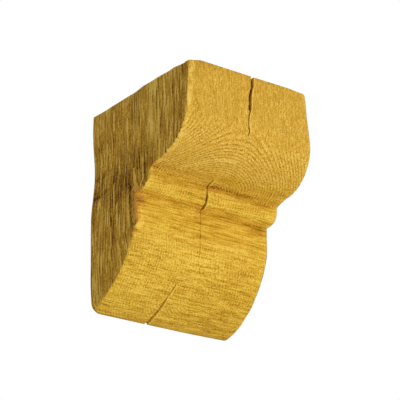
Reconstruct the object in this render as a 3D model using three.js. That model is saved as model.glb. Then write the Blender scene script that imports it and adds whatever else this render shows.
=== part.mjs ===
// Beam bracket: a short block cut from square timber and carved on its face in two lobes, which
// stands out from a wall and carries the end of a ceiling beam. It is one piece of wood, with the
// grain upright and the heart of the tree inside it, so it has split from the face in to the heart.
//
// Units are millimetres and +Z is up. The flat back lies in the plane y = 0 with the origin at its
// centre, and the carved face looks along -Y. A point of the carving is given by two distances:
// "out", how far it stands out from the wall, and "down", how far it lies below the top.

import * as THREE from 'three';
import { mergeVertices } from 'three/addons/utils/BufferGeometryUtils.js';

const { clamp, lerp, smoothstep } = THREE.MathUtils;

// Driving sizes. Each height starts where the one above it ends, and each projection starts where
// the one below it ends, so any of them can change by itself.
const blockWidth = 140;            // across the carved face
const upperFaceHeight = 45;        // upright part of the upper lobe
const upperLobeHeight = 41;        // rounded part of the upper lobe, down to its lip
const coveHeight = 2;              // shallow hollow between the lip and the bead
const beadHeight = 16.5;           // bead, down to the quirk under it
const lowerFaceHeight = 22.5;      // upright part of the lower lobe
const lowerLobeHeight = 65;        // rounded part of the lower lobe, down to its toe at the wall
const lowerLobeProjection = 73;    // lower lobe, out from the wall
const beadProjection = 17.5;       // bead, beyond the lower lobe
const lipProjection = 10;          // lip of the upper lobe, beyond the bead
const upperLobeProjection = 46.5;  // upper lobe, beyond its lip

// Roundness of each curve, as the exponent of a superellipse: 1 is a flat chamfer, 2 an ellipse
const upperLobeRoundness = 2;
const coveRoundness = 1.3;
const beadRoundness = 2.5;
const lowerLobeRoundness = 1.6;

// Worn arrises between the face and the sides
const topArrisRadius = 3;
const topCornerRadius = 7;         // at the two top corners of the face
const faceArrisRadius = 4;
const beadArrisRadius = 3;
const tornArrisRadius = 6;         // left of the quirk, where the arris has broken away
const toeArrisRadius = 7;

// Sides: the block is wider at the wall, and narrower at the top of the face
const wallFlare = 3.5;             // each side, at the wall
const topPinch = 5;                // each side, at the top of the face

// Checks, the splits in the wood. The main one opens at the top and runs in to the heart, and the
// lower one opens at the toe.
const heartOut = 84;               // heart of the tree, out from the wall
const heartAcross = -3.5;          // heart of the tree, from the middle of the block
const mainCheckWidth = 2.8;        // at the top of the face
const beadCheckWidth = 1.7;        // where it opens again across the bead
const toeCheckWidth = 2.4;
const checkDepthRatio = 7;         // depth of a check for its width
const shutCheckWidth = 0.6;        // a check that is shut, which has no depth
const checkStep = 1.5;             // how far the right half of the bead has come forward

// Places of the carved lines that follow from the sizes
const beadOut = lowerLobeProjection + beadProjection;
const lipOut = beadOut + lipProjection;
const topOut = lipOut + upperLobeProjection;
const lipDown = upperFaceHeight + upperLobeHeight;
const beadTop = lipDown + coveHeight;
const quirkDown = beadTop + beadHeight;
const lowerShoulderDown = quirkDown + lowerFaceHeight;
const blockHeight = lowerShoulderDown + lowerLobeHeight;
const halfWidth = blockWidth / 2;

// How far each carved line strays from its place, because the block was cut by hand. "left" goes
// from the left end to the main check, and "right" from the check to the right end, evenly spaced.
const strays = {
  topOut: { left: [3, 0.5], right: [0.2, -4.5] },
  shoulderOut: { left: [2.5, 0.5], right: [0.5, 0, -0.8] },
  shoulderDown: { left: [-1, 0], right: [0, 2] },
  lipOut: { left: [-6, -0.5], right: [0.5, -2, 6.5] },
  lipDown: { left: [-1, 0], right: [0, 2, 1] },
  beadTop: { left: [-1, 0], right: [-0.2, 0.6, 3] },
  beadOut: { left: [0.5, -0.2], right: [checkStep - 0.2, 0.3, -1] },
  beadRoundness: { left: [-0.2, -0.1], right: [0, 0.6] },
  quirkDown: { left: [-1, -0.2], right: [0, 1] },
  lowerOut: { left: [1, 0], right: [0, -1] },
  toeDown: { left: [-0.6, 0], right: [0, -0.2, -1] },
  upperRoundness: { left: [-0.08, 0], right: [0, 0.08] },
  lowerRoundness: { left: [-0.1, 0], right: [0, 0.08] },
};

// Value at a place, eased between the [place, value] pairs of a list, which run upwards
function along(pairs, place) {
  const next = pairs.findIndex(([at]) => at > place);
  if (next === 0) return pairs[0][1];
  if (next < 0) return pairs[pairs.length - 1][1];
  const [start, startValue] = pairs[next - 1];
  const [end, endValue] = pairs[next];
  return lerp(startValue, endValue, smoothstep(place, start, end));
}

// Quarter of a superellipse, from [0, 0] upright to [1, 1] level, in equal turns
function quarterTurn(roundness, count) {
  return Array.from({ length: count }, (_, step) => {
    const angle = (step / count) * Math.PI / 2;
    return [1 - Math.cos(angle) ** (2 / roundness), Math.sin(angle) ** (2 / roundness)];
  });
}

// Outline of the block in the plane of one column, as a closed ring of points: up the wall, out
// along the top, down the face and back to the toe. "right" says which half of the block the
// column is in, and "across" goes from 0 to 1 over that half. Every ring has as many points.
const steps = { wall: 14, top: 14, face: 8, lobe: 14, cove: 4, bead: 10, lowerFace: 5, lowerLobe: 16 };
const faceStart = steps.wall + steps.top;
const beadStart = faceStart + steps.face + steps.lobe;
const lowerStart = beadStart + steps.cove + steps.bead;
const ringCount = lowerStart + steps.lowerFace + steps.lowerLobe;

function outline(right, across) {
  const stray = (name) => {
    const values = strays[name][right ? 'right' : 'left'];
    const place = across * (values.length - 1);
    const before = Math.min(Math.floor(place), values.length - 2);
    return lerp(values[before], values[before + 1], place - before);
  };
  const top = topOut + stray('topOut');
  const shoulder = [topOut + stray('shoulderOut'), upperFaceHeight + stray('shoulderDown')];
  const lip = [lipOut + stray('lipOut'), lipDown + stray('lipDown')];
  const beadCorner = [beadOut + stray('beadOut'), beadTop + stray('beadTop')];
  const quirk = [lowerLobeProjection + stray('lowerOut'), quirkDown + stray('quirkDown')];
  const lowerShoulder = [quirk[0], lowerShoulderDown];
  const toe = [0, blockHeight + stray('toeDown')];

  const ring = [];
  const straight = (from, to, count) => {
    for (let step = 0; step < count; step++) {
      ring.push([lerp(from[0], to[0], step / count), lerp(from[1], to[1], step / count)]);
    }
  };
  const curve = (from, to, roundness, count, isHollow = false) => {
    for (const turn of quarterTurn(roundness, count)) {
      const [inward, downward] = isHollow ? [turn[1], turn[0]] : turn;
      ring.push([lerp(from[0], to[0], inward), lerp(from[1], to[1], downward)]);
    }
  };
  straight(toe, [0, 0], steps.wall);
  straight([0, 0], [top, 0], steps.top);
  straight([top, 0], shoulder, steps.face);
  curve(shoulder, lip, upperLobeRoundness + stray('upperRoundness'), steps.lobe);
  curve(lip, beadCorner, coveRoundness, steps.cove, true);
  curve(beadCorner, quirk, beadRoundness + stray('beadRoundness'), steps.bead);
  straight(quirk, lowerShoulder, steps.lowerFace);
  curve(lowerShoulder, toe, lowerLobeRoundness + stray('lowerRoundness'), steps.lowerLobe);
  return ring;
}

// A point inside the outline from which all of it can be seen. The rings of the sides shrink
// towards it, and so do the worn arrises and the bottoms of the checks.
const centre = [0.45 * lipOut, 0.82 * lipDown];

function towardsCentre([out, down], distance) {
  const length = Math.hypot(out - centre[0], down - centre[1]);
  const share = Math.min(distance / length, 1);
  return [out === 0 ? 0 : lerp(out, centre[0], share), lerp(down, centre[1], share)];
}

// Radius of the worn arris at each point of the ring: none up the wall except at the toe
const arrisBlend = 2;              // ring points over which one radius passes into the next
function arrisRadius(right, index) {
  if (index === 0) return toeArrisRadius;
  if (index < steps.wall) return 0;
  if (index < faceStart) {
    const edge = lerp(0, topArrisRadius, Math.min((index - steps.wall) / arrisBlend, 1));
    return lerp(topCornerRadius, edge, Math.min((faceStart - index) / arrisBlend, 1));
  }
  if (index < beadStart) {
    return lerp(topCornerRadius, faceArrisRadius, Math.min((index - faceStart) / arrisBlend, 1));
  }
  const quirkRadius = right ? faceArrisRadius : tornArrisRadius;
  if (index < lowerStart) {
    return lerp(quirkRadius, beadArrisRadius, Math.min((lowerStart - index) / arrisBlend, 1));
  }
  return lerp(quirkRadius, toeArrisRadius, (index - lowerStart) / (ringCount - lowerStart));
}

// Distance of a side from the middle of the block. The sides were hewn along the grain, so they
// rise and fall in flats that run up and down: "flats" gives them by the share of the way out, and
// "wallEdge" gives how the edge at the wall wanders by the share of the way down.
const leftHewing = {
  flats: [[0, 0], [0.24, -1.4], [0.45, -2], [0.54, 1], [0.67, 1], [0.83, 0]],
  wallEdge: [[0, 0.6], [0.08, 0.8], [0.31, -2], [0.55, 1], [0.83, 0.2], [1, -1.5]],
};
const rightHewing = {
  flats: [[0, 0], [0.19, 1], [0.35, -1], [0.57, -1.5], [0.71, 0.8], [1, 0]],
  wallEdge: [[0, 0], [0.36, 1.2], [0.68, -1.2], [1, 0]],
};
const flatsBelowLip = 0.4;         // share of the flats' relief that is left below the lip

function sideDistance(hewing, out, down) {
  const outShare = clamp(out / topOut, 0, 1);
  const belowTop = smoothstep(down, 0, lipDown);
  const pinch = topPinch * outShare * (1 - belowTop);
  const flare = wallFlare * (1 - clamp(out / lowerLobeProjection, 0, 1));
  const flats = along(hewing.flats, outShare) * lerp(1, flatsBelowLip, belowTop);
  const nearWall = 1 - smoothstep(out, 0, lowerLobeProjection);
  const wander = along(hewing.wallEdge, down / blockHeight) * nearWall;
  return halfWidth + flare - pinch + flats + wander;
}

// Where the carved lines come along the face, counted as down minus out
const run = {
  top: -topOut,
  shoulder: upperFaceHeight - topOut,
  lip: lipDown - lipOut,
  bead: beadTop - beadOut,
  quirk: quirkDown - lowerLobeProjection,
  lowerShoulder: lowerShoulderDown - lowerLobeProjection,
  toe: blockHeight,
};

// The checks. "path" gives how far one lies from the middle of the block, by its run down the face,
// and "width" gives how far it has opened there. The main one opens on the upper lobe, shuts, opens
// again across the bead and shuts for good. Over the top of the block it runs back to the heart.
const mainCheck = {
  reachesHeart: true,
  path: [
    [run.top, 3], [lerp(run.top, run.shoulder, 0.4), 0], [run.shoulder, -0.8],
    [lerp(run.shoulder, run.lip, 0.75), -1.4], [run.lip, -7], [run.bead, -7.2],
    [run.quirk, -4], [run.lowerShoulder, -3.6], [lerp(run.lowerShoulder, run.toe, 0.4), 9.5],
    [run.toe, 2],
  ],
  width: [
    [run.top, mainCheckWidth], [lerp(run.top, run.shoulder, 0.75), mainCheckWidth],
    [run.shoulder, 0.4 * mainCheckWidth], [lerp(run.shoulder, run.lip, 0.25), shutCheckWidth],
    [run.bead, shutCheckWidth], [lerp(run.bead, run.quirk, 0.2), beadCheckWidth],
    [lerp(run.bead, run.quirk, 0.85), beadCheckWidth], [run.quirk, shutCheckWidth],
  ],
};
const toeCheck = {
  reachesHeart: false,
  path: [
    [lerp(run.lowerShoulder, run.toe, 0.3), -17], [lerp(run.lowerShoulder, run.toe, 0.46), -12.5],
    [lerp(run.lowerShoulder, run.toe, 0.66), -16], [run.toe, -16.5],
  ],
  width: [
    [lerp(run.lowerShoulder, run.toe, 0.48), shutCheckWidth],
    [lerp(run.lowerShoulder, run.toe, 0.75), toeCheckWidth], [run.toe, 0.8 * toeCheckWidth],
  ],
};

// Place, width and depth of a check at a point of the ring. It is shut on the wall, and shallow at
// the toe, because the wall is close behind it there.
const toeCheckDepth = 4;
function checkAt(check, index, [out, down]) {
  const onTop = index >= steps.wall && index < faceStart;
  if (index > 0 && index < steps.wall) {
    return { place: along(check.path, run.toe), width: shutCheckWidth, depth: 0 };
  }
  if (onTop && !check.reachesHeart) {
    return { place: along(check.path, run.top), width: shutCheckWidth, depth: 0 };
  }
  const nearFace = onTop ? clamp((out - heartOut) / (topOut - heartOut), 0, 1) : 1;
  const opening = onTop ? mainCheckWidth : along(check.width, down - out);
  const width = lerp(shutCheckWidth, opening, nearFace);
  return {
    place: lerp(heartAcross, along(check.path, down - out), nearFace),
    width,
    depth: Math.min(checkDepthRatio * (width - shutCheckWidth), toeCheckDepth + blockHeight - down),
  };
}

// The columns of the block, from left to right. Each is a ring of points in space. The flat part
// of the face is cut into strips between the two arrises and the two checks.
const leftStrips = 5;              // left arris to the toe check
const middleStrips = 2;            // toe check to the main check
const rightStrips = 6;             // main check to the right arris
const arrisSteps = 4;
const sideRings = 8;
const toeCheckShare = 0.78;        // place of the toe check in the left half

function toSpace([out, down], x) {
  return [x, -out, blockHeight / 2 - down];
}

// One column on the flat part of the face. "xOf" picks its place across from the two arrises and
// the two checks, and "sunkIn" is the check that its points are at the bottom of.
function faceColumn(right, across, xOf, sunkIn = null) {
  return outline(right, across).map((point, index) => {
    const left = arrisRadius(false, index) - sideDistance(leftHewing, ...point);
    const far = sideDistance(rightHewing, ...point) - arrisRadius(true, index);
    const main = checkAt(mainCheck, index, point);
    const toe = checkAt(toeCheck, index, point);
    const depth = sunkIn ? checkAt(sunkIn, index, point).depth : 0;
    return toSpace(towardsCentre(point, depth), xOf({ left, toe, main, right: far }));
  });
}
const leftRim = (check) => check.place - check.width / 2;
const rightRim = (check) => check.place + check.width / 2;

// One column of a worn arris, turned by "angle" from the face towards the side
function arrisColumn(right, angle) {
  return outline(right, right ? 1 : 0).map((point, index) => {
    const radius = arrisRadius(right, index);
    const worn = towardsCentre(point, radius * (1 - Math.cos(angle)));
    const edge = sideDistance(right ? rightHewing : leftHewing, ...worn);
    const x = edge - radius * (1 - Math.sin(angle));
    return toSpace(worn, right ? x : -x);
  });
}

// One ring of a side, "share" of the way from its arris to the centre
function sideColumn(right, share) {
  return outline(right, right ? 1 : 0).map((point, index) => {
    const rim = towardsCentre(point, arrisRadius(right, index));
    const inner = [lerp(rim[0], centre[0], share), lerp(rim[1], centre[1], share)];
    const x = sideDistance(right ? rightHewing : leftHewing, ...inner);
    return toSpace(inner, right ? x : -x);
  });
}

const columns = [];
const quarter = Math.PI / 2;
for (let ring = sideRings; ring > 0; ring--) {
  columns.push(sideColumn(false, ring / sideRings));
}
for (let step = arrisSteps; step > 0; step--) {
  columns.push(arrisColumn(false, (step / arrisSteps) * quarter));
}
for (let strip = 0; strip <= leftStrips; strip++) {
  const share = strip / leftStrips;
  columns.push(faceColumn(false, share * toeCheckShare,
    ({ left, toe }) => lerp(left, leftRim(toe), share)));
}
columns.push(faceColumn(false, toeCheckShare, ({ toe }) => toe.place, toeCheck));
for (let strip = 0; strip <= middleStrips; strip++) {
  const share = strip / middleStrips;
  columns.push(faceColumn(false, lerp(toeCheckShare, 1, share),
    ({ toe, main }) => lerp(rightRim(toe), leftRim(main), share)));
}
columns.push(faceColumn(true, 0, ({ main }) => main.place, mainCheck));
for (let strip = 0; strip <= rightStrips; strip++) {
  const share = strip / rightStrips;
  columns.push(faceColumn(true, share, ({ main, right }) => lerp(rightRim(main), right, share)));
}
for (let step = 1; step <= arrisSteps; step++) {
  columns.push(arrisColumn(true, (step / arrisSteps) * quarter));
}
for (let ring = 1; ring <= sideRings; ring++) {
  columns.push(sideColumn(true, ring / sideRings));
}

// Skin of the block: two triangles between each pair of neighbours on each pair of columns. The
// first and the last column shrink to a point, so one triangle of each pair there is dropped.
const indices = [];
const lastGap = columns.length - 2;
for (let column = 0; column <= lastGap; column++) {
  for (let point = 0; point < ringCount; point++) {
    const next = (point + 1) % ringCount;
    const here = column * ringCount;
    const beside = here + ringCount;
    if (column > 0) {
      indices.push(here + point, here + next, beside + point);
    }
    if (column < lastGap) {
      indices.push(here + next, beside + next, beside + point);
    }
  }
}
const skin = new THREE.BufferGeometry();
skin.setAttribute('position', new THREE.Float32BufferAttribute(columns.flat(2), 3));
skin.setIndex(indices);

const stainedTimber = new THREE.MeshStandardMaterial({
  color: 0xd5a83c,
  roughness: 0.75,
  metalness: 0,
});
const mergeDistance = 0.001;
const bracket = new THREE.Mesh(mergeVertices(skin, mergeDistance), stainedTimber);
bracket.name = 'bracket';

const beamBracket = new THREE.Group();
beamBracket.add(bracket);

export default beamBracket;
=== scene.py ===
import bpy
import numpy as np
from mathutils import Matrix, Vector


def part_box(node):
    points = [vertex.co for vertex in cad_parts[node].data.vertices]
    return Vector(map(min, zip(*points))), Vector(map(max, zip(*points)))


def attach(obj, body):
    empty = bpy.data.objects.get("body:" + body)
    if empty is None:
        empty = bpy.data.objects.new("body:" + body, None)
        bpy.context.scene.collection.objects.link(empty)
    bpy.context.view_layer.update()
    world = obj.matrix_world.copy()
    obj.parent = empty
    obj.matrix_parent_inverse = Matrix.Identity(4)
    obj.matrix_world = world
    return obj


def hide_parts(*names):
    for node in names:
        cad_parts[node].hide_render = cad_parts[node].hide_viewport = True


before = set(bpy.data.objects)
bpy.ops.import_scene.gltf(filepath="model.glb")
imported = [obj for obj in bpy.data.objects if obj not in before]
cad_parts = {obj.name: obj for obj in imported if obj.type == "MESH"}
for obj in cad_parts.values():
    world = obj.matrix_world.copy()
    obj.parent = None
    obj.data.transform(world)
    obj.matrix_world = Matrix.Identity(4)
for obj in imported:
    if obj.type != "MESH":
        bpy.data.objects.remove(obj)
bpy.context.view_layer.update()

# The block
# A beam bracket is one short block of softwood, cut from square timber with the heart of the tree
# inside it. Its flat back is fixed to a wall, and the end of a ceiling beam rests on its flat top.
# The sides are hewn along the grain, the face is carved across it, and all of it is stained.
#
# Sizes are in millimetres. A point of the carving is given by how far it stands "out" from the wall
# and how far "down" it lies below the top, and its "run" down the face is down minus out.
MM = 0.001
low, high = (np.array(corner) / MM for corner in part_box("bracket"))
block_height = high[2] - low[2]
block_depth = high[1] - low[1]
block_width = 140
upper_face_height = 45
upper_lobe_height = 41
cove_height = 2
bead_height = 16.5
lower_face_height = 22.5
lower_lobe_projection = 73
bead_projection = 17.5
lip_projection = 10
corner_stray = 3               # how far the left end of the top edge stands out beyond the rest

bead_out = lower_lobe_projection + bead_projection
lip_out = bead_out + lip_projection
top_out = block_depth - corner_stray
lip_down = upper_face_height + upper_lobe_height
bead_top = lip_down + cove_height
quirk_down = bead_top + bead_height
lower_shoulder_down = quirk_down + lower_face_height

# Roundness of each curve, as the exponent of a superellipse: 1 is a flat chamfer, 2 an ellipse
upper_roundness = 2
cove_roundness = 1.3
bead_roundness = 2.5
lower_roundness = 1.6

# How far each carved line strays from its place, because the block was cut by hand. The first list
# goes from the left end to the main check, the second from the check to the right end.
check_step = 1.5
strays = {
    "top out": ([corner_stray, 0.5], [0.2, -0.4, -1, -3.2]),
    "shoulder out": ([1.8, 0.5], [0.5, 0, -0.8]),
    "shoulder down": ([-1, 0], [0, 2]),
    "lip out": ([-6, -0.5], [0.5, -2, 6.3]),
    "lip down": ([-3.4, -0.6, 0], [0, 2, 1]),
    "bead top": ([-1, 0], [-0.2, 0.6, 3]),
    "bead out": ([0.5, -0.2], [check_step - 0.2, 0.3, -1]),
    "bead roundness": ([1.2, -0.1], [0, 0.6]),
    "quirk down": ([-1, -0.2], [0, 1]),
    "lower out": ([1, 0], [0, -1]),
    "toe down": ([0, 0], [0, -0.2, -1]),
    "upper roundness": ([0.22, 0, 0], [0, -0.04]),
    "lower roundness": ([-0.1, 0], [0, 0.13]),
}

# Points down the face in each stretch of the carving, and along the top
face_points = {"upper face": 15, "upper lobe": 40, "cove": 8, "bead": 24, "lower face": 14,
               "lower lobe": 64}
face_count = sum(face_points.values())
top_count = 150


def blend(start, end, share):
    """The value some share of the way from start to end."""
    return start * (1 - share) + end * share


def ease(share):
    """A share from 0 to 1, slow at both ends: 3t^2 - 2t^3. Past the ends it stays 0 or 1."""
    share = np.clip(share, 0, 1)
    return share * share * (3 - 2 * share)


def eased(places, values, at):
    """Value at a place, eased between each two of the listed places."""
    places, values = np.array(places, float), np.array(values, float)
    after = np.clip(np.searchsorted(places, at, side="right"), 1, len(places) - 1)
    way = ease((at - places[after - 1]) / (places[after] - places[after - 1]))
    return blend(values[after - 1], values[after], way)


def stray(line, across, on_right):
    """How far a carved line strays, with across going from -1 at the left end to 1 at the right."""
    left, right = strays[line]
    left_stray = np.interp(across, np.linspace(-1, 0, len(left)), left)
    right_stray = np.interp(across, np.linspace(0, 1, len(right)), right)
    return np.where(on_right, right_stray, left_stray)


def outline(across, on_right):
    """The closed ring of points round the block in each column: up the wall, out along the top and
    down the face. Straight stretches are even, and each curve is a quarter of a superellipse, which
    for a turn a from 0 to 90 degrees goes 1 - cos(a)^(2/n) of the way in and sin(a)^(2/n) down, or
    the other way about in the hollow cove."""
    def off(line):
        return stray(line, across, on_right)

    def stretch(start, end, count, roundness=None, hollow=False):
        share = np.arange(count)[:, None] / count + 0 * across
        inward = downward = share
        if roundness is not None:
            inward = 1 - np.cos(share * np.pi / 2) ** (2 / roundness)
            downward = np.sin(share * np.pi / 2) ** (2 / roundness)
        shares = np.array([downward, inward] if hollow else [inward, downward])
        return blend(start[:, None], end[:, None], shares)

    origin = np.array([0 * across, 0 * across])
    top = np.array([top_out + off("top out"), 0 * across])
    shoulder = np.array([top_out + off("shoulder out"), upper_face_height + off("shoulder down")])
    lip = np.array([lip_out + off("lip out"), lip_down + off("lip down")])
    bead = np.array([bead_out + off("bead out"), bead_top + off("bead top")])
    quirk = np.array([lower_lobe_projection + off("lower out"), quirk_down + off("quirk down")])
    lower_shoulder = np.array([quirk[0], lower_shoulder_down + 0 * across])
    toe = np.array([0 * across, block_height + off("toe down")])

    face = np.concatenate([
        stretch(top, shoulder, face_points["upper face"]),
        stretch(shoulder, lip, face_points["upper lobe"], upper_roundness + off("upper roundness")),
        stretch(lip, bead, face_points["cove"], cove_roundness + 0 * across, hollow=True),
        stretch(bead, quirk, face_points["bead"], bead_roundness + off("bead roundness")),
        stretch(quirk, lower_shoulder, face_points["lower face"]),
        stretch(lower_shoulder, toe, face_points["lower lobe"], lower_roundness + off("lower roundness")),
    ], axis=1)
    wall = stretch(toe, origin, face_count)
    return np.concatenate([wall, stretch(origin, top, top_count), face], axis=1)


# The ring closes on the toe, and its first face_count points are on the wall.
ring_count = 2 * face_count + top_count
ring_place = np.arange(ring_count)
on_wall = ring_place < face_count
on_top = (ring_place >= face_count) & (ring_place < face_count + top_count)
on_face = ring_place >= face_count + top_count

# Height of the points on the wall, as shares of the block's height from the toe up to the top. It
# lies halfway between even steps and the heights of the points on the face.
middle_ring = outline(np.array([0.0]), np.array([True]))
face_shares = middle_ring[1, on_face, 0] / block_height
wall_shares = np.append(1, (face_shares[:0:-1] + np.arange(face_count - 1, 0, -1) / face_count) / 2)


def block_ring(across, on_right):
    """The ring of points round the block in each column, with those on the wall at their shares."""
    ring = outline(across, on_right)
    ring[1, on_wall] = wall_shares[:, None] * ring[1, :1]
    return ring


# Where the carved lines come along the run down the face
run = {
    "top": -top_out,
    "shoulder": upper_face_height - top_out,
    "lip": lip_down - lip_out,
    "bead": bead_top - bead_out,
    "quirk": quirk_down - lower_lobe_projection,
    "lower shoulder": lower_shoulder_down - lower_lobe_projection,
    "toe": block_height,
}


def between(start, end, *shares):
    """Places on the run down the face, each some share of the way from one carved line to another."""
    return [blend(run[start], run[end], share) for share in shares]


def past(line, *distances):
    """Places on the run down the face, each some millimetres past a carved line, or before it."""
    return [run[line] + distance for distance in distances]


# Wear draws each point of the ring towards this one, near the wall and level with the upper lobe, from
# which the whole outline can be seen.
centre = np.array([0.45 * lip_out, 0.82 * lip_down])


def worn(ring, distance):
    """The ring drawn in towards the centre by some distance. On the wall it stays in the wall's
    plane, with its points at their shares of the height down to its own toe."""
    away = ring - centre[:, None, None]
    drawn = ring - away * (distance / np.hypot(*away))
    toe_down = drawn[1, :1]
    drawn[1, on_wall] = wall_shares[:, None] * toe_down
    drawn[0, on_wall] = 0
    drawn[0, face_count] = 0
    return drawn


# Hewn sides
# The sides were cleft and hewn along the grain, so they rise and fall in long ridges that run up and
# down. Painted shade darkens the grooves, and a painted highlight lightens the crests. The left side
# is the rougher: slivers stand up from it, and wood has torn away behind the arris of the face.
wall_flare = 3.5
# How far each side is drawn in at the face: at the top, and from the lip down. False is the left one.
pinch = {False: (3.8, 3.2), True: (4.4, 0.8)}
# Broad flats above the lip: share of the way out to the face, and how far the side stands out there
left_flats = [0, 0.24, 0.45, 0.54, 0.67, 0.83], [0, 1.2, 1.2, 2.2, 1, -0.8]
right_flats = [0, 0.19, 0.35, 0.57, 0.71, 1], [0, 1, -1, -1.8, -0.8, -1.2]
# How the edge at the wall wanders: share of the way down, and how far it stands out there
left_wall_edge = [0, 0.08, 0.31, 0.55, 0.83, 1], [0.6, 0.8, -2, 1, 0.2, -1.5]
right_wall_edge = [0, 0.36, 0.68, 1], [0, 1.0, -1.2, 0]
# Where the left side is fuller behind the arris, beside the quirk and below the torn place: down, and
# how much. It starts this far from the wall at each place down, and grows over the reach.
left_bulge = [90, 100, 112, 129, 135, 150, 168], [0, 3, 2.5, 0, 3, 1.1, -0.2]
bulge_from = [125, 150], [55, 20]
bulge_reach = 15

chance = np.random.default_rng(5)
knot_count = 256
knots = chance.uniform(-1, 1, (knot_count, knot_count))

# Everything that wavers has random heights of its own, given by a number. The ridges of a side use
# that number and the three after it.
layer_of = {"left ridges": 0, "right ridges": 9, "torn edge": 15, "cuts": 16, "check bends": 20,
            "check teeth": 21, "check width": 22, "tool lines": 30, "swells": 31, "rubbing": 33,
            "saw marks": 34, "left arris": 35, "side colour": 36, "ring bends": 40, "ring widths": 41}


def waver(u, v, layer):
    """Smooth random heights from -1 to 1: one at each whole u and v, eased between them. Another
    layer gives other heights, because it starts at another place."""
    u, v = np.broadcast_arrays(u + 31.7 * layer, v + 17.3 * layer)
    column, row = np.floor(u).astype(int), np.floor(v).astype(int)
    s, t = ease(u - column), ease(v - row)
    column, row = column % knot_count, row % knot_count
    next_column, next_row = (column + 1) % knot_count, (row + 1) % knot_count
    near = blend(knots[column, row], knots[column, next_row], t)
    far = blend(knots[next_column, row], knots[next_column, next_row], t)
    return blend(near, far, s)


# Ridges, the fibres on them, and the steps where a layer has split away: width, length, depth
ridge = 2.4, 40, 0.2
fibre = 1.4, 14, 0.4
step = 9, 80, 0.5
step_sharpness = 5
drift = 1.6, 30, 45            # how far the ridges drift out or in, and how far apart out and down
sunk_share = 0.45              # share of all these depths that lies outside the side's own surface
groove_shade = 0.12            # painted shade for each millimetre of depth, and painted highlight on the crests
smooth_rim = 5                 # the grooves run out over this distance towards the arrises
rim_depth = 0.15               # share of their depth that is left there


def turn_from_centre(out, down):
    """Angle and distance of a point from the centre, with the angle running once round the block."""
    return np.arctan2(down - centre[1], out - centre[0]), np.hypot(out - centre[0], down - centre[1])


# Reach of the outline from the centre by turn, at the left end and the right one
end_turns = {}
for on_right in (False, True):
    end_ring = outline(np.array([1.0 if on_right else -1.0]), np.array([on_right]))[:, :, 0]
    turns, reaches = turn_from_centre(*end_ring)
    order = np.argsort(turns)
    end_turns[on_right] = turns[order], reaches[order]


def inside_rim(out, down, on_right):
    """How far a point of a side lies inside the outline, on the line from the centre through it."""
    turn, reach = turn_from_centre(out, down)
    turns, reaches = end_turns[on_right]
    return np.interp(turn, turns, reaches, period=2 * np.pi) - reach


def ridges(out, down, layer):
    """Depth of the grooves in a side, and the painted shade that darkens them and lightens the crests as
    a painted highlight. A groove runs where a wavering value crosses nought: its depth goes as
    (1 - |value|)^3, so its bottom is sharp and the crests beside it are round. A step is the tanh of a
    wavering value, so it is level on both sides of a steep edge."""
    drift_most, drift_out, drift_down = drift
    drifted = out + drift_most * waver(out / drift_out, down / drift_down, layer)
    depth = 0
    for number, (width, length, most) in enumerate((ridge, fibre)):
        value = 1 - np.abs(waver(drifted / width, down / length, layer + 1 + number))
        depth = depth + most * value ** 3
    step_width, step_length, step_most = step
    steps = np.tanh(step_sharpness * waver(drifted / step_width, down / step_length, layer + 3))
    depth = depth + step_most / 2 * (1 + steps) - sunk_share * (ridge[2] + fibre[2] + step_most)
    return depth, groove_shade * depth


mark_fade = 4                  # a mark on a side fades in and out over this distance at its ends


def trace(out, down, path, half_width):
    """1 along a path down the side, given as (down, out) points, easing to 0 at its half width and
    over the last few millimetres at its ends."""
    downs, outs = np.array(path, float).T
    beside = 1 - np.abs(out - np.interp(down, downs, outs)) / half_width
    ends = np.minimum(down - downs[0], downs[-1] - down) / mark_fade + 1
    return ease(beside) * ease(ends)


# Slivers that stand up from the left side with a painted highlight, and a line sunk just beyond each
# and darkened with a painted shadow: how high and pale the sliver is, and its path as (down, out) points
slivers = [
    (1.4, [(34, 106), (84, 106.5)]), (1.3, [(72, 80.3), (98, 81.3)]), (1.1, [(102, 58.4), (127, 59)]),
    (0.7, [(9, 34.5), (25, 35)]), (0.7, [(30, 31), (41, 31)]), (0.6, [(60, 10), (73, 11.4)]),
    (0.7, [(81, 34), (99, 35.5)]), (0.9, [(103, 40), (121, 40.5)]), (0.8, [(6, 112), (32, 114)]),
    (0.6, [(25, 56), (52, 57)]), (0.6, [(112, 30), (150, 33)]), (0.6, [(14, 122), (36, 126)]),
    (0.6, [(130, 46), (164, 48)]),
]
sliver_half_width, sliver_height = 1.0, 0.9
shadow_offset, shadow_half_width, shadow_depth, shadow_stain = 2, 1.3, 0.5, 0.2

# Gaps between fibres, as such paths, and cuts across the grain: down, and reach from the wall. Both
# are sunk and darkened with painted shade.
gaps = [[(92, 60), (112, 63), (140, 65)], [(90, 76), (102, 78)], [(60, 92), (84, 95)]]
gap_half_width, gap_depth, gap_shade = 3, 1.0, 0.12
cuts = [(65, 20), (84, 16)]
cut_slope, cut_half_width, cut_depth, cut_shade = 0.12, 3.5, 0.5, 0.2
cut_wander = 2, 7              # how far a cut wanders up or down, and how far out between the bends

# The wood torn away behind the arris of the face: its path, then by place down its half width, how
# pale it is, and how much of the orange wood under the stain shows
torn_edge = [(78, 65.5), (88, 67), (97, 71.5), (104, 74), (112, 73), (128, 70.5)]
torn_half_width = [78, 92, 102, 128], [2, 3.2, 8, 5.5]
torn_wander = 1.0, 5           # how far its border wanders, and how far down between the bends
torn_paleness = [92, 104], [0.75, 0.25]
torn_bareness = [80, 96], [0.7, 1]
torn_depth = 0.7
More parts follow.
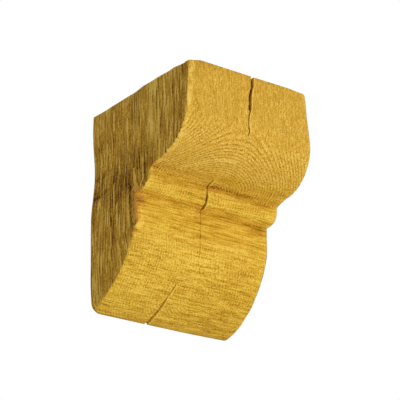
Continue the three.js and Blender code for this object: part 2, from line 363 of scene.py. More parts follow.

# Broad patches of the left side where the stain lies thicker or thinner: out, down, reach out, reach
# down, and how much stain they add. The two at out 88 and 86, down 68 and 92, are painted shade on
# the side just behind the arris.
patches = [
    (93, 45, 6, 14, -0.3), (96, 7, 7, 10, -0.26), (70, 7, 8, 10, 0.16), (112, 85, 9, 9, -0.12),
    (98, 32, 13, 30, -0.08), (69, 55, 18, 45, 0.05), (6, 8, 18, 18, -0.1), (141, 25, 7, 30, 0.1),
    (25, 175, 30, 25, -0.08), (20, 75, 22, 12, 0.08), (45, 125, 10, 40, -0.06), (118, 30, 7, 30, -0.08),
    (50, 84, 11, 14, 0.13), (63, 128, 7, 26, 0.04), (88, 68, 5.5, 14, 0.22), (86, 92, 4, 9, 0.06),
    (30, 25, 28, 25, -0.04), (55, 70, 20, 25, 0.09), (45, 92, 30, 22, 0.11), (75, 14, 60, 24, -0.06),
]


def side_marks(out, down, on_right):
    """Depth of the marks in a side, the stain and the painted light and shade in them, and how far the
    wood there is torn. The right side, which doesn't show, has only its ridges."""
    depth, stain_and_shade = ridges(out, down, layer_of["right ridges" if on_right else "left ridges"])
    torn = 0 * depth
    if on_right:
        return depth, stain_and_shade, torn
    for how_pale, path in slivers:
        beside = [(place, edge + shadow_offset) for place, edge in path]
        raised = trace(out, down, path, sliver_half_width)
        sunken = trace(out, down, beside, shadow_half_width)
        depth = depth - sliver_height * how_pale * raised + shadow_depth * sunken
        stain_and_shade = stain_and_shade - how_pale * raised + shadow_stain * sunken
    for path in gaps:
        gap = trace(out, down, path, gap_half_width)
        depth = depth + gap_depth * gap
        stain_and_shade = stain_and_shade + gap_shade * gap
    for place, reach in cuts:
        most, length = cut_wander
        wavy = place - cut_slope * out + most * waver(out / length, 0.0, layer_of["cuts"])
        cut = ease(1 - np.abs(down - wavy) / cut_half_width) * ease((2 * reach - out) / reach)
        depth = depth + cut_depth * cut
        stain_and_shade = stain_and_shade + cut_shade * cut
    for place_out, place_down, reach_out, reach_down, change in patches:
        near = ((out - place_out) / reach_out) ** 2 + ((down - place_down) / reach_down) ** 2
        stain_and_shade = stain_and_shade + change * np.exp(-near)
    most, length = torn_wander
    half_width = eased(*torn_half_width, down) + most * waver(down / length, 0.0, layer_of["torn edge"])
    torn = ease(2 * trace(out, down, torn_edge, half_width))
    depth = depth - torn_depth * torn
    stain_and_shade = stain_and_shade * (1 - 0.5 * torn) - torn * eased(*torn_paleness, down)
    return depth, stain_and_shade, torn * eased(*torn_bareness, down)


def side_distance(out, down, on_right):
    """Distance of a side from the middle of the block: half its width, more at the wall and where
    it bulges, less towards the face, and more or less again in its flats and grooves."""
    out_share = np.clip(out / top_out, 0, 1)
    below_top = eased([0, lip_down], [0, 1], down)
    drawn_in = out_share * blend(*pinch[on_right], below_top)
    flare = wall_flare * (1 - np.clip(out / lower_lobe_projection, 0, 1))
    flats, wall_edge = (right_flats, right_wall_edge) if on_right else (left_flats, left_wall_edge)
    relief = eased(*flats, out_share) * (1 - below_top)
    wander = eased(*wall_edge, down / block_height) * eased([0, lower_lobe_projection], [1, 0], out)
    if not on_right:
        wander = wander + eased(*left_bulge, down) * ease((out - eased(*bulge_from, down)) / bulge_reach)
    rim = ease(inside_rim(out, down, on_right) / smooth_rim)
    depth = side_marks(out, down, on_right)[0] * (rim_depth + (1 - rim_depth) * rim)
    return block_width / 2 + flare - drawn_in + relief + wander - depth


# Checks
# The block dried with the heart inside, so it split from the face in to the heart. The main check is
# open at the top, shut round the upper lobe and open again across the bead, and another opens at
# the toe. Where a check is shut, only a hairline shows.
heart_out = 84
heart_across = -3.5
main_check_width = 3.5         # on the top, at the face
shut_check_width = 0.6
check_depth_ratio = 5
toe_check_depth = 2.5          # depth at the very toe, where the wall lies close behind
hairline_depth = 0.12
toe_check_place = -0.22        # on the way from the main check to the left end, which is at -1
# How far the edges of a check wander, and how far along between one bend and the next
check_wander = {"check bends": (0.3, 4), "check teeth": (0.2, 1.6)}
width_change = 0.3, 3          # share by which its width changes, and how far along

# Each check's path across the face and its width, by the run down. Where it is shut, it has the
# hairline's depth and the shut stain, and where it is open, its walls have the open stain and are torn.
main_check = {
    "reaches heart": True,
    "deepest": 20,
    "raggedness": 1,
    "path": (
        [*between("top", "shoulder", 0, 0.2, 0.38, 0.75),
         *between("shoulder", "lip", 0, 0.12, 0.35, 0.76, 0.92), run["lip"], run["bead"], run["quirk"],
         *between("lower shoulder", "toe", 0, 0.2, 0.4, 1)],
        [3.7, 3.4, 1.6, 0.8, -1, 0.6, -0.8, -1.2, -5, -7.3, -7.4, -3.7, -3.8, -0.8, 7.5, 2],
    ),
    "width": (
        [*past("top", 0, 8, 11, 15), *between("top", "shoulder", 0.72, 0.8),
         *between("shoulder", "lip", 0, 0.08, 0.2), *past("lip", -2, 1), *past("bead", -3, 1, 5),
         *between("bead", "quirk", 0.35, 0.65, 0.85, 1)],
        [main_check_width, main_check_width, 2.1, main_check_width, 2.975, 1.26, 1.155, 1.47,
         shut_check_width, shut_check_width, 1.2, 1.2, 0.7, 0.75, 2.07, 2.3, 2.3, shut_check_width],
    ),
    "hairline": (between("lower shoulder", "toe", 0.35, 0.5), [hairline_depth, 0]),
    "shut stain": (
        [run["bead"], run["quirk"], *between("lower shoulder", "toe", 0.3, 0.42, 0.5)],
        [-0.14, 0.2, 0.3, 0.22, 0],
    ),
    "open stain": 0.5,
    "torn": 0.3,
}
toe_check = {
    "reaches heart": False,
    "deepest": 2,
    "raggedness": 0.4,
    "path": (
        between("lower shoulder", "toe", 0.45, 0.54, 0.59, 0.68, 1),
        [-12.6, -13.1, -14.2, -15.1, -15.7],
    ),
    "width": (
        between("lower shoulder", "toe", 0.46, 0.54, 0.66, 0.74, 1),
        [shut_check_width, 1.28, 1.6, 3.2, 3.2],
    ),
    "hairline": (between("lower shoulder", "toe", 0.45, 0.5), [0, hairline_depth]),
    "shut stain": ([run["top"], run["toe"]], [0, 0]),
    "open stain": 0.42,
    "torn": 0.8,
}


def check_at(check, ring):
    """Place, width and depth of a check at each point of the ring. Over the top the main one runs
    back to the heart, and on the wall every check is shut."""
    out, down = ring
    along = np.where(on_wall[:, None], run["toe"], down - out)
    place = eased(*check["path"], along)
    width = eased(*check["width"], along)
    hairline = np.where(on_face[:, None], eased(*check["hairline"], along), 0)
    if check["reaches heart"]:
        near_face = np.clip((out - heart_out) / (top_out - heart_out), 0, 1)
        top_width = shut_check_width + (main_check_width - shut_check_width) * near_face
        place = np.where(on_top[:, None], heart_across + (place - heart_across) * near_face, place)
        width = np.where(on_top[:, None], top_width, width)
    ragged = sum(most * waver(along / length, 0.0, layer_of[name])
                 for name, (most, length) in check_wander.items())
    place = place + np.where(on_face[:, None], check["raggedness"] * ragged, 0)
    most, length = width_change
    change = most * waver(along / length, 0.0, layer_of["check width"])
    opened = (width - shut_check_width) * (1 + np.where(on_face[:, None], change, 0))
    depth = np.maximum(np.minimum(check_depth_ratio * opened, check["deepest"]), hairline)
    depth = np.minimum(depth, toe_check_depth + block_height - down)
    depth[1:face_count] = 0
    return place, shut_check_width + opened, depth


# Carved face
# The lobes and the bead were sawn roughly to shape and worked down with chisel and scraper, which
# left shallow marks across the block. The arrises are rubbed pale, and the left one is broken away
# beside the quirk, where the wood shows orange.
top_corner = {True: 5, False: 8}    # radius of the worn corners at the top, right and left
toe_corner = {True: 6, False: 9}
# Radius of each arris between them, by the run down the face
arris_wear = {
    True: ([*past("top", 0, 11), run["quirk"], run["toe"]], [top_corner[True], 3, 3, toe_corner[True]]),
    False: ([*past("top", 0, 11), run["lip"], run["bead"], *past("quirk", -4, 0, 10),
             *past("toe", -14, 0)],
            [top_corner[False], 2.6, 2.6, 2.6, 3, 5, 2.6, 3, toe_corner[False]]),
}
left_arris_change = 0.3, 6     # share by which the left one's radius changes, and how far along
top_arris, top_arris_fade = 2.5, 20    # radius of the arrises at the top's sides, and where it fades


def arris_radius(ring, on_right):
    """Radius of the worn arris at each point of the ring. On the wall, where no arris is worn, it
    grows towards the toe, so that the columns there meet those of the rounded toe."""
    out, down = ring
    radius = np.interp(down - out, *arris_wear[on_right])
    over_top = np.interp(out, [0, top_arris_fade, top_out - top_arris_fade, top_out],
                         [0, top_arris, top_arris, top_corner[on_right]])
    if not on_right:
        most, length = left_arris_change
        radius = radius * (1 + most * waver((down - out) / length, 0.0, layer_of["left arris"]))
    radius = np.where(on_top[:, None], over_top, radius)
    radius[:face_count] = toe_corner[on_right] * wall_shares[:, None]
    return radius


# Tool marks, the swells under them, and how strong both are by the run down the face
mark_spacing, mark_length, mark_depth = 2.5, 48, 0.4
swell_spacing, swell_length, swell_depth = 16, 40, 0.4
mark_strength = [run["shoulder"], run["lip"], run["bead"], run["toe"]], [0.2, 0.3, 1, 0.8]
toe_fade = 6                   # they run out over this distance above the toe
# Places on the left arris that were knocked or rubbed down: out, down, how deep, reach
knocks = [(top_out, 0, 5, 20), (138.7, 62.5, 3.2, 10), (30, 178, 1.6, 18)]


def tool_marks(x, ring):
    """Height from -1 to 1 of the lines that the tools left across the face, how strong they are, and
    the depth of both these lines and the broader swells under them."""
    out, down = ring
    along = down - out
    strength = eased(*mark_strength, along)
    lines = waver(x / mark_length, along / mark_spacing, layer_of["tool lines"])
    swells = waver(x / swell_length, along / swell_spacing, layer_of["swells"])
    depth = strength * (mark_depth * (0.5 + 0.5 * lines) + swell_depth * (0.5 + 0.5 * swells))
    depth = np.where(on_face[:, None], depth * ease((block_height - down) / toe_fade), 0)
    for place_out, place_down, deepest, reach in knocks:
        away = np.hypot(np.hypot(out - place_out, down - place_down), x + block_width / 2)
        depth = depth + deepest * ease(1 - away / reach)
    return lines, strength, depth


# Stain and painted shade along the run down the face, left and right of the main check. The rise
# towards the lip, and on the right over the cove above the bead, is painted shade under the upper
# lobe. The dip a little above the quirk is a painted highlight along the bead's nose, and the rise
# from there to the quirk is painted shade under the bead. On the right it stays up a few millimetres
# past the quirk, as the bead's painted shadow on the lower face.
stain_and_shade_down_face = {
    False: (
        [*past("top", 0, 3), run["shoulder"], *past("lip", -6, 0, 3), run["bead"],
         *past("quirk", -18, -14.5, -11, -2, 3), *past("lower shoulder", 10), *past("toe", -5, 0)],
        [0.4, 0.3, 0.29, 0.28, 0.38, 0.29, 0.3, 0.27, 0.08, 0.32, 0.29, 0.25, 0.23, 0.24, 0.5],
    ),
    True: (
        [*past("top", 0, 3), run["shoulder"], *past("lip", -12, -4, -1, 2),
         *past("bead", -5, -2.5, -0.5, 1.5), *past("quirk", -18, -14.5, -11, -1, 3, 7),
         *past("lower shoulder", 10), *past("toe", -5, 0)],
        [0.4, 0.3, 0.29, 0.29, 0.36, 0.34, 0.24, 0.32, 0.43, 0.43, 0.27, 0.21, 0.03, 0.3, 0.28, 0.31,
         0.26, 0.25, 0.3, 0.5],
    ),
}
sawn_stain = 0.36              # on the top and the back
side_stain = 0.488

# Places on the face with more or less stain, or with torn wood: run, place across, reach along and
# across, stain, and how much bare wood shows. Some are painted shade over torn wood: the pocket at the
# left end of the lip, the band along the top of the bead right of the main check, and the line under
# the bead near its right end.
spots = [
    (run["lip"] + 4, -64, 2.5, 5, 0.35, 1.0), (run["quirk"] + 4, -67.5, 4.5, 5, 0.2, 1.8),
    (run["quirk"] - 1.5, -63, 1.0, 6, -0.4, 0.5), (57, -67, 7, 2.2, -0.5, 0.2),
    (run["bead"] - 2, 1, 2.2, 7, 0.1, 0.8), (run["bead"] - 2, 20, 1.6, 26, 0.07, 0.6),
    (run["quirk"] + 5, 58, 1.5, 14, 0.26, 0.4), (run["quirk"] + 9, 62, 1.5, 12, 0.22, 0.4),
    (run["quirk"] + 34, -69, 2, 2.5, 0.4, 0.3), (39, -24, 1.2, 1.6, 0.4, 0),
    (run["top"] + 8, 14.7, 6, 7, 0.0, 0.25), (85, 8, 1.2, 20, -0.16, 0), (118, -40, 1.6, 26, 0.14, 0),
    (44, -15, 1.3, 40, 0.1, 0), (145, -42, 22, 28, -0.06, 0), (92, 0, 20, 40, -0.04, 0),
    (run["quirk"] - 5, 42, 5, 26, -0.06, 0),
]
mark_stain = 0.09

# The arrises are rubbed pale over a rim: the left one by this much along the run, the right one less
rim_width = 4
left_paleness = [run["top"], run["shoulder"], run["bead"], run["lower shoulder"]], [0.24, 0.42, 0.2, 0.03]
right_paleness = 0.06
rubbing_length = 6

# The right lips of the checks get a painted highlight, less where a check is shut, as it is on the lower
# lobe
lip_width = 2
open_lip_highlight = 0.2
shut_lip_highlight = 0.08

# One growth ring of the upper lobe stands out pale to the left: distance from the heart, half width
bright_ring, bright_ring_half_width = 44.5, 1.3
bright_ring_paleness = 0.34

# Marks of the saw across the top and the back
kerf_spacing, kerf_length, kerf_stain = 1.7, 50, 0.05


def face_stain_and_shade(x, ring, on_right, left, right):
    """Stain and painted shade of the band, and how far its wood is torn. On the face they come from the
    run down the face, the tool marks, the spots, the painted highlight on the right lips of the checks
    and what was rubbed pale: the arrises from left and right on, and one ring."""
    out, down = ring
    along = down - out
    lines, strength, _ = tool_marks(x, ring)
    stain_and_shade = eased(*stain_and_shade_down_face[on_right], along) + mark_stain * strength * lines
    torn = 0 * stain_and_shade
    for place, across, reach, reach_across, darker, tear in spots:
        near = np.exp(-((along - place) / reach) ** 2 - ((x - across) / reach_across) ** 2)
        stain_and_shade = stain_and_shade + darker * near
        torn = torn + tear * near
    how_pale = 0.6 + 0.4 * waver(along / rubbing_length, 0.0, layer_of["rubbing"])
    stain_and_shade = stain_and_shade - eased(*left_paleness, along) * how_pale * ease(1 - (x - left) / rim_width)
    stain_and_shade = stain_and_shade - right_paleness * how_pale * ease(1 - (right - x) / rim_width)
    for check in (toe_check, main_check):
        place, width, depth = check_at(check, ring)
        beyond = x - place - width / 2
        opened = ease(depth / 2)
        shut = ease(depth / hairline_depth) * (1 - opened) * ease((along - run["lower shoulder"]) / 12)
        lip_highlight = open_lip_highlight * opened + shut_lip_highlight * shut
        stain_and_shade = stain_and_shade - lip_highlight * ease(1 - beyond / lip_width) * (beyond > -0.1)
    from_heart = np.hypot(x - heart_across, out - heart_out)
    on_left_lobe = (x < 0) & (along < run["lip"]) & (down > upper_face_height)
    near_ring = ease(1 - np.abs(from_heart - bright_ring) / bright_ring_half_width)
    stain_and_shade = stain_and_shade - bright_ring_paleness * on_left_lobe * near_ring
    kerf = kerf_stain * waver((out + down) / kerf_spacing, x / kerf_length, layer_of["saw marks"])
    face = on_face[:, None]
    return np.where(face, stain_and_shade, sawn_stain + kerf), np.where(face, torn, 0)


# The carved block
# It is one piece. The face, the back and the top with the worn arrises at both sides make one band
# of columns, each a ring of points round the block, and a grid closes the band at either side.
# Painted highlight on the rims of a check where it is open, from none at the lip to this at the bead and
# below
open_rim_highlight = [run["lip"], run["bead"]], [0, -0.3]
# Turn of each arris, from the face, at which the stain of the side starts, the turn over which it
# comes in, how much its start wavers, and how far apart along the arris
side_colour_from = {
    True: ([run["top"], run["toe"]], [0.4, 0.4]),
    False: ([*past("quirk", 0, 25), *past("toe", -20, 0)], [0.6, 0.7, 0.7, 1.3]),
}
side_colour_reach = {True: 0.4, False: 0.5}
side_colour_change, side_colour_length = {True: 0, False: 0.2}, 4


def in_space(ring, x, *marks):
    """Points in the frame, in millimetres, from out, down and the place across, and their marks."""
    return np.stack(np.broadcast_arrays(x, -ring[0], block_height / 2 - ring[1], *marks), axis=-1)


def face_strip(across, on_right, start, end, share, sunk_in=None, sunk=0.0):
    """Columns on the flat part of the face, each some share of the way from one edge to another. The
    edges are the arrises and the lips and middles of the checks, and sunk is how far down the walls
    of a check the columns lie."""
    ring = block_ring(across, np.full(across.shape, on_right))
    left = arris_radius(ring, False) - side_distance(*ring, False)
    right = side_distance(*ring, True) - arris_radius(ring, True)
    edges = {"left arris": left, "right arris": right}
    for name, check in (("toe", toe_check), ("main", main_check)):
        place, width, _ = check_at(check, ring)
        edges[name + " left"] = place - width / 2
        edges[name] = place
        edges[name + " right"] = place + width / 2
    x = blend(edges[start], edges[end], share)
    depth = sunk * check_at(sunk_in, ring)[2] if sunk_in else 0 * x
    stain_and_shade, torn = face_stain_and_shade(x, ring, on_right, left, right)
    if sunk_in:
        along = ring[1] - ring[0]
        opened = np.clip((depth - hairline_depth) / 2, 0, 1)
        shut = eased(*sunk_in["shut stain"], along)
        is_open = check_at(sunk_in, ring)[2] > 1
        shut = np.where(is_open, eased(*open_rim_highlight, along), shut)
        stain_and_shade = stain_and_shade + sunk_in["open stain"] * opened + shut * (1 - opened) * on_face[:, None]
        torn = np.maximum(torn, sunk_in["torn"] * opened)
    return in_space(worn(ring, tool_marks(x, ring)[2] + depth), x, stain_and_shade, 0, torn)


def arris_strip(angles, on_right):
    """Columns of a worn arris, each turned by its angle from the face towards the side."""
    sign = 1 if on_right else -1
    across = np.full(angles.shape, float(sign))
    ring = block_ring(across, np.full(across.shape, on_right))
    radius = arris_radius(ring, on_right)
    flat_x = sign * (side_distance(*ring, on_right) - radius)
    rim = worn(ring, radius * (1 - np.cos(angles)) + tool_marks(flat_x, ring)[2] * np.cos(angles))
    x = blend(flat_x, sign * side_distance(*rim, on_right), np.sin(angles))
    rims = (-np.inf, flat_x) if on_right else (flat_x, np.inf)
    stain_and_shade, torn = face_stain_and_shade(flat_x, ring, on_right, *rims)
    side, side_torn = side_marks(*rim, on_right)[1:]
    along = ring[1] - ring[0]
    change = waver(along / side_colour_length, 0.0, layer_of["side colour"])
    side_from = eased(*side_colour_from[on_right], along) + side_colour_change[on_right] * change
    turned = ease((angles - side_from) / side_colour_reach[on_right])
    turned = np.where(on_wall[:, None], 0, turned)
    stain_and_shade = blend(stain_and_shade, side_stain + side, turned)
    return in_space(rim, x, stain_and_shade, turned, np.maximum(torn, side_torn))


# Places of the columns, closer together near the arrises and the checks. The walls of a check slope
# steeply to its bottom, and the main check parts the left half of the face from the right one.
arris_angles = np.linspace(0, np.pi / 2, 9)
left_share = np.linspace(0, 1, 23) ** 1.25
middle_share = np.array([0, 0.06, 0.14, 0.3, 0.5, 0.75, 1])
right_share = np.append([0, 0.012], 1 - np.linspace(0.97, 0, 29) ** 1.15)
wall_share, wall_sink = np.array([[0, 0.28, 1], [0, 0.6, 1]])
at_toe_check, at_main_check = np.full(3, toe_check_place), np.zeros(3)
strips = [
    arris_strip(arris_angles[::-1], False),
    face_strip(blend(-1, toe_check_place, left_share), False, "left arris", "toe left", left_share),
    face_strip(at_toe_check, False, "toe left", "toe", wall_share, toe_check, wall_sink),
    face_strip(at_toe_check, False, "toe right", "toe", wall_share, toe_check, wall_sink)[:, 1::-1],
    face_strip(blend(toe_check_place, 0, middle_share), False, "toe right", "main left", middle_share),
    face_strip(at_main_check, False, "main left", "main", wall_share, main_check, wall_sink),
    face_strip(at_main_check, True, "main right", "main", wall_share, main_check, wall_sink)[:, ::-1],
    face_strip(right_share, True, "main right", "right arris", right_share),
    arris_strip(arris_angles, True),
]


def side_cap(on_right):
    """One hewn side: a grid whose rows run down from the top edge and whose columns run out from the
    wall. Its inner points are blended from its four edges, and its depth comes from the grooves."""
    across = np.array([1.0 if on_right else -1.0])
    ring = block_ring(across, np.array([on_right]))
    rim = worn(ring, arris_radius(ring, on_right))[:, :, 0]
    wall = rim[:, face_count::-1]
    top = rim[:, face_count:face_count + top_count + 1]
    face = np.concatenate([rim[:, face_count + top_count:], rim[:, :1]], axis=1)
    u = np.linspace(0, 1, top_count + 1)
    v = np.linspace(0, 1, face_count + 1)[:, None]
    inner = blend(wall[:, :, None], face[:, :, None], u)
    inner = inner + (1 - v) * (top - blend(top[:, :1], top[:, -1:], u))[:, None]
    x = side_distance(*inner, on_right)
    stain_and_shade, torn = side_marks(*inner, on_right)[1:]
    return in_space(inner, x if on_right else -x, side_stain + stain_and_shade, 1, torn)


def grid_triangles(rows, columns, closed=False):
    """Two triangles for each cell of a grid of points stored row by row, as indices."""
    row = np.arange(rows if closed else rows - 1)[:, None]
    column = np.arange(columns - 1)[None, :]
    here = row * columns + column
    below = (row + 1) % rows * columns + column
    return np.concatenate([
        np.stack([here, below, below + 1], axis=-1).reshape(-1, 3),
        np.stack([here, below + 1, here + 1], axis=-1).reshape(-1, 3),
    ])


band = np.concatenate(strips, axis=1)
points, triangles, count = [], [], 0
for grid, closed, outward in ((band, True, True), (side_cap(False), False, True),
                              (side_cap(True), False, False)):
    cells = grid_triangles(*grid.shape[:2], closed) + count
    triangles.append(cells if outward else cells[:, ::-1])
    points.append(grid.reshape(-1, grid.shape[2]))
    count += grid.shape[0] * grid.shape[1]
points = np.concatenate(points)
triangles = np.concatenate(triangles)

# The grids and the band share their edge points, so points in one place become one, and a triangle
# that loses a corner goes.
merge_distance = 0.002
places = np.round(points[:, :3] / merge_distance).astype(np.int64)
_, first, which = np.unique(places, axis=0, return_index=True, return_inverse=True)
points = points[first]
triangles = which.reshape(-1)[triangles]
whole = (triangles != np.roll(triangles, 1, axis=1)).all(axis=1)

sharp_degrees = 50
mesh = bpy.data.meshes.new("carved_block")
mesh.from_pydata(points[:, :3] * MM, [], triangles[whole])
mesh.shade_smooth()
mesh.set_sharp_from_angle(angle=np.radians(sharp_degrees))
block = bpy.data.objects.new("carved_block", mesh)
bpy.context.collection.objects.link(block)

# Marks in the wood
# Growth rings show where the wood was cut across the grain, most on the upper lobe. Below the bead the
# heart leans back and to the right, and below the lip the face was scraped across the grain.
lean_starts, lean_ends = quirk_down - 10, block_height - 20
lean_across, lean_back = 15, 40
bend_most, bend_length = 0.35, 8    # how far the rings bend, and over what length
ring_width_length = 9               # the rings are wide and narrow by turns, over this distance
level_enough = 1.6                  # end grain shows in full once the normal is 1 / 1.6 upright
scraping = [lip_down - 4, lip_down + 1, quirk_down, lower_shoulder_down, block_height - 60,
            block_height - 15], [0, 0.6, 1, 1, 0.7, 1]
woven_from, woven_reach = quirk_down + 22, 30

normals = np.empty(3 * len(points))
mesh.vertex_normals.foreach_get("vector", normals)
x, out, down = points[:, 0], -points[:, 1], block_height / 2 - points[:, 2]
stain_and_shade, hewn, torn = points[:, 3:].T
lean = ease((down - lean_starts) / (lean_ends - lean_starts))
from_heart = np.hypot(x - (heart_across + lean_across * lean), out - (heart_out - lean_back * lean))
bends = bend_most * waver(x / bend_length, (out + down) / bend_length, layer_of["ring bends"])
from_heart = from_heart + bends + waver(from_heart / ring_width_length, 0.0, layer_of["ring widths"])
end_grain = ease(np.abs(normals[2::3]) * level_enough) * (1 - hewn)
end_grain = end_grain * eased([lip_down, quirk_down + 15], [1, 0.6], down)
off_wall = (1 - hewn) * ease(out / 2)
scraped = off_wall * eased(*scraping, down)
woven = off_wall * ease((down - woven_from) / woven_reach)
unscraped = (1 - hewn) * (1 - 0.7 * scraped * (1 - woven))
marks = {"stain_and_shade": stain_and_shade, "hewn": hewn, "torn": np.clip(torn, 0, 1), "cut": 1 - hewn, "scraped": scraped,
         "unscraped": unscraped, "woven": woven, "from_heart": from_heart, "end_grain": end_grain}
for name, values in marks.items():
    mesh.attributes.new(name, "FLOAT", "POINT").data.foreach_set("value", values.astype(np.float32))


def srgb(code):
    """Linear colour of an sRGB hex value: (c + 0.055) / 1.055 to the power 2.4, or c / 12.92 if dark."""
    parts = np.array([int(code[at:at + 2], 16) / 255 for at in (1, 3, 5)])
    linear = np.where(parts <= 0.04045, parts / 12.92, ((parts + 0.055) / 1.055) ** 2.4)
    return (*linear, 1.0)


def add_node(tree, kind, sockets=None, stops=None, **settings):
    """Adds a shader node with its settings. A socket is named or numbered and takes a value or the
    node that it is linked from, and stops are the places and hex colours of a ramp."""
    node = tree.nodes.new("ShaderNode" + kind)
    for name, value in settings.items():
        setattr(node, name, value)
    for at, (place, colour) in enumerate(stops or ()):
        if at >= 2:
            node.color_ramp.elements.new(place)
        node.color_ramp.elements[at].position = place
        node.color_ramp.elements[at].color = srgb(colour)
    for socket, value in (sockets or {}).items():
        if isinstance(socket, str):
            socket = next(at for at, one in enumerate(node.inputs)
                          if one.name == socket and one.enabled)
        if isinstance(value, bpy.types.Node):
            value = next(one for one in value.outputs if one.enabled)
        if isinstance(value, bpy.types.NodeSocket):
            tree.links.new(value, node.inputs[socket])
        else:
            node.inputs[socket].default_value = value
    return node


# Honey-stained pine
# A resinous softwood with clear growth rings, left matt. How much stain the wood took gives the
# colour: pale on rubbed arrises, honey on the carved face, brown on the rough sides, and nearly black
# at the bottom of the checks. The same value also carries painted light and shade: painted highlights
# on the crests and slivers of the sides, along the bead's nose and on the lips of the checks, and
# painted shade that is nearly black at the bottom of the grooves and darkens the cove, the underside
# of the bead and the gaps and cuts of the left side.
timber = bpy.data.materials.new("honey_stained_pine")
timber.use_nodes = True
tree = timber.node_tree
shader = tree.nodes["Principled BSDF"]
place = add_node(tree, "TexCoord").outputs["Object"]
mark = {name: add_node(tree, "Attribute", attribute_name=name).outputs["Fac"] for name in marks}

# Growth rings, each from pale early wood to a thin dark line of late wood
ring_spacing = 2.6
turns = add_node(tree, "Math", {0: mark["from_heart"], 1: 1 / ring_spacing}, operation="MULTIPLY")
turn = add_node(tree, "Math", {0: turns}, operation="FRACT")
late_wood = add_node(tree, "ValToRGB", {"Fac": turn}, stops=[
    (0, "#000000"), (0.45, "#303030"), (0.8, "#FFFFFF"), (0.92, "#A0A0A0"), (1, "#000000")])
ring_patches = add_node(tree, "TexNoise", {"Vector": place, "Scale": 1 / (7 * MM), "Detail": 1.0})
ring_strength = add_node(tree, "MapRange", {
    "Value": ring_patches, "From Min": 0.35, "From Max": 0.65, "To Min": 0.14, "To Max": 0.36})
centred = add_node(tree, "Math", {0: late_wood, 1: -0.4}, operation="ADD")
drawn = add_node(tree, "Math", {0: centred, 1: ring_strength}, operation="MULTIPLY")
pattern = add_node(tree, "Math", {0: drawn, 1: mark["end_grain"]}, operation="MULTIPLY")

# Finer patterns: size in millimetres, how many times longer it is across, out and up, the part of the
# noise that shows and the values it runs between, where it lies, and how much stain it adds there.
# The pores and fibres of real pine are 0.03 to 0.1 mm wide, and as coarse here as it takes to show.
even = (0.33, 0.67), (-1, 1)
layers = [
    ("pores", 1.05, (1, 1, 1), *even, "cut", 0.13),
    ("short fibres", 1.0, (1, 1, 5), *even, "unscraped", 0.12),
    ("long fibres", 1.4, (1, 1, 16), *even, "unscraped", 0.06),
    ("end grain", 1.1, (1, 3, 1), *even, "end_grain", 0.12),
    ("wide scrapes", 2.6, (5, 1, 1), *even, "scraped", 0.07),
    ("woven grain", 1.1, (1, 1, 2), *even, "woven", 0.08),
    ("fine scrapes", 1.2, (16, 1, 1), (0.4, 0.68), (-0.6, 1), "scraped", 0.19),
    ("side threads", 2.0, (1, 1, 10), (0.4, 0.62), (0.5, -1), "hewn", 0.12),
    ("side fibres", 5, (1, 1, 16), *even, "hewn", 0.03),
    ("pale splinters", 2.0, (1, 1, 10), (0.59, 0.63), (0, -1), "hewn", 0.25),
    ("dark splits", 2.2, (1, 1, 12), (0.62, 0.68), (0, 1), "hewn", 0.08),
    ("pits", 1.3, (1, 1, 1.5), *even, "hewn", 0.17),
    ("blotches", 18, (1, 1, 2), *even, "cut", 0.02),
    ("side blotches", 11, (1, 1, 3), *even, "hewn", 0.09),
]
for name, size, stretch, (low_end, high_end), (at_low, at_high), where, share in layers:
    vector = add_node(tree, "Mapping", {
        "Vector": place, "Scale": tuple(1 / times for times in stretch),
        "Location": (size / 100, 0, 0)})        # another place in the noise for each size
    noise = add_node(tree, "TexNoise", {
        "Vector": vector, "Scale": 1 / (size * MM), "Detail": 1.0}, label=name)
    shown = add_node(tree, "MapRange", {
        "Value": noise, "From Min": low_end, "From Max": high_end,
        "To Min": at_low * share, "To Max": at_high * share})
    pattern = add_node(tree, "Math", {0: shown, 1: mark[where], 2: pattern}, operation="MULTIPLY_ADD")

# Split fibres of the hewn sides: close upright lines that waver, fade in and out and end. A wave
# texture of scale 1 has its lines 2 pi / 20 apart.
fibre_spacing = 3.9
vector = add_node(tree, "Mapping", {"Vector": place, "Scale": (1, 1, 0.18)})
lines = add_node(tree, "TexWave", {
    "Vector": vector, "Scale": 2 * np.pi / 20 / (fibre_spacing * MM), "Distortion": 7.0, "Detail": 1.0,
    "Detail Scale": 1.6}, bands_direction="Y")
clumps = add_node(tree, "TexNoise", {"Vector": vector, "Scale": 1 / (9 * MM), "Detail": 1.0})
clump_strength = add_node(tree, "MapRange", {
    "Value": clumps, "From Min": 0.35, "From Max": 0.65, "To Min": 0.02, "To Max": 0.5})
centred = add_node(tree, "Math", {0: 0.45, 1: lines.outputs["Fac"]}, operation="SUBTRACT")
drawn = add_node(tree, "Math", {0: centred, 1: clump_strength}, operation="MULTIPLY")
pattern = add_node(tree, "Math", {0: drawn, 1: mark["hewn"], 2: pattern}, operation="MULTIPLY_ADD")

# The colour of the stained wood, a little yellower where it was scraped, and redder where it is torn
stain_and_shade = add_node(tree, "Math", {0: mark["stain_and_shade"], 1: pattern}, operation="ADD")
colour = add_node(tree, "ValToRGB", {"Fac": stain_and_shade}, stops=[
    (0, "#F6D064"), (0.3, "#D8A838"), (0.6, "#AE7E20"), (0.8, "#7E5610"), (1, "#3A2404")])
colour = add_node(tree, "Mix", {"Factor": mark["scraped"], "A": colour, "B": srgb("#FFFFDA")},
                  data_type="RGBA", blend_type="MULTIPLY").outputs[2]
torn_wood = add_node(tree, "ValToRGB", {"Fac": stain_and_shade}, stops=[
    (0, "#ECB44A"), (0.3, "#CC9436"), (0.6, "#98641C"), (0.8, "#6E4210"), (1, "#3A2006")])
colour = add_node(tree, "Mix", {"Factor": mark["torn"], "A": colour, "B": torn_wood},
                  data_type="RGBA")
tree.links.new(colour.outputs[2], shader.inputs["Base Color"])
sunk = add_node(tree, "Math", {0: pattern, 1: -1}, operation="MULTIPLY")
bump = add_node(tree, "Bump", {"Height": sunk, "Distance": 1.0 * MM})
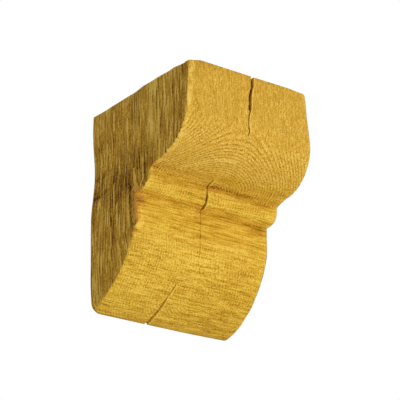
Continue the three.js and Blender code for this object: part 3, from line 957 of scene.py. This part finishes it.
tree.links.new(bump.outputs[0], shader.inputs["Normal"])
shader.inputs["Roughness"].default_value = 0.62
shader.inputs["Specular IOR Level"].default_value = 0.08
mesh.materials.append(timber)

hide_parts("bracket")
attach(block, "root")

# Floor, light and camera
# A pale floor well below the block, a white surround and two soft lamps in front of it. The camera
# looks up at the block from its left front with a long lens. Sizes here are in metres.
floor_below = 2.3
floor_reach = 10
floor_mesh = bpy.data.meshes.new("floor")
floor_mesh.from_pydata(
    [(x * floor_reach, y * floor_reach, -floor_below) for x, y in ((-1, -1), (1, -1), (1, 1), (-1, 1))],
    [], [(0, 1, 2, 3)])
floor = bpy.data.objects.new("floor", floor_mesh)
bpy.context.collection.objects.link(floor)
paint = bpy.data.materials.new("pale_matt_paint")
paint.use_nodes = True
shader = paint.node_tree.nodes["Principled BSDF"]
shader.inputs["Base Color"].default_value = srgb("#E6E4E0")
shader.inputs["Roughness"].default_value = 0.9
floor_mesh.materials.append(paint)

world = bpy.data.worlds.new("white_surround")
world.use_nodes = True
tree = world.node_tree
tree.nodes.clear()
seen = add_node(tree, "Background", {"Color": srgb("#FFFFFF"), "Strength": 1.0})
lit = add_node(tree, "Background", {"Color": srgb("#FFFFFF"), "Strength": 0.55})
rays = add_node(tree, "LightPath")
both = add_node(tree, "MixShader", {
    0: rays.outputs["Is Camera Ray"], 1: lit.outputs[0], 2: seen.outputs[0]})
add_node(tree, "OutputWorld", {"Surface": both.outputs[0]})
bpy.context.scene.world = world

block_middle = Vector((0, -0.07, 0))


def soft_lamp(name, place, size, power, colour):
    """A square area lamp that faces the middle of the block."""
    data = bpy.data.lights.new(name, "AREA")
    data.shape = "SQUARE"
    data.size = size
    data.energy = power
    data.color = srgb(colour)[:3]
    lamp = bpy.data.objects.new(name, data)
    lamp.location = place
    aim = block_middle - lamp.location
    lamp.rotation_euler = aim.to_track_quat("-Z", "Y").to_euler()
    bpy.context.collection.objects.link(lamp)


soft_lamp("key_lamp", (0.8, -1.9, 0.7), 0.9, 10.4, "#FFFFFF")
soft_lamp("fill_lamp", (0.4, -1.4, -1.4), 1.0, 18.5, "#FFF8EA")

lens = bpy.data.cameras.new("camera")
lens.lens = 200
lens.sensor_width = 36
camera = bpy.data.objects.new("camera", lens)
camera.location = (-0.9826, -1.6083, -0.8039)
azimuth, elevation = np.radians(-32.51), np.radians(-23.88)
back = Vector((np.sin(azimuth) * np.cos(elevation), -np.cos(azimuth) * np.cos(elevation),
               np.sin(elevation)))
camera.rotation_euler = back.to_track_quat("Z", "Y").to_euler()
bpy.context.collection.objects.link(camera)
bpy.context.scene.camera = camera
bpy.context.scene.view_settings.view_transform = "Standard"
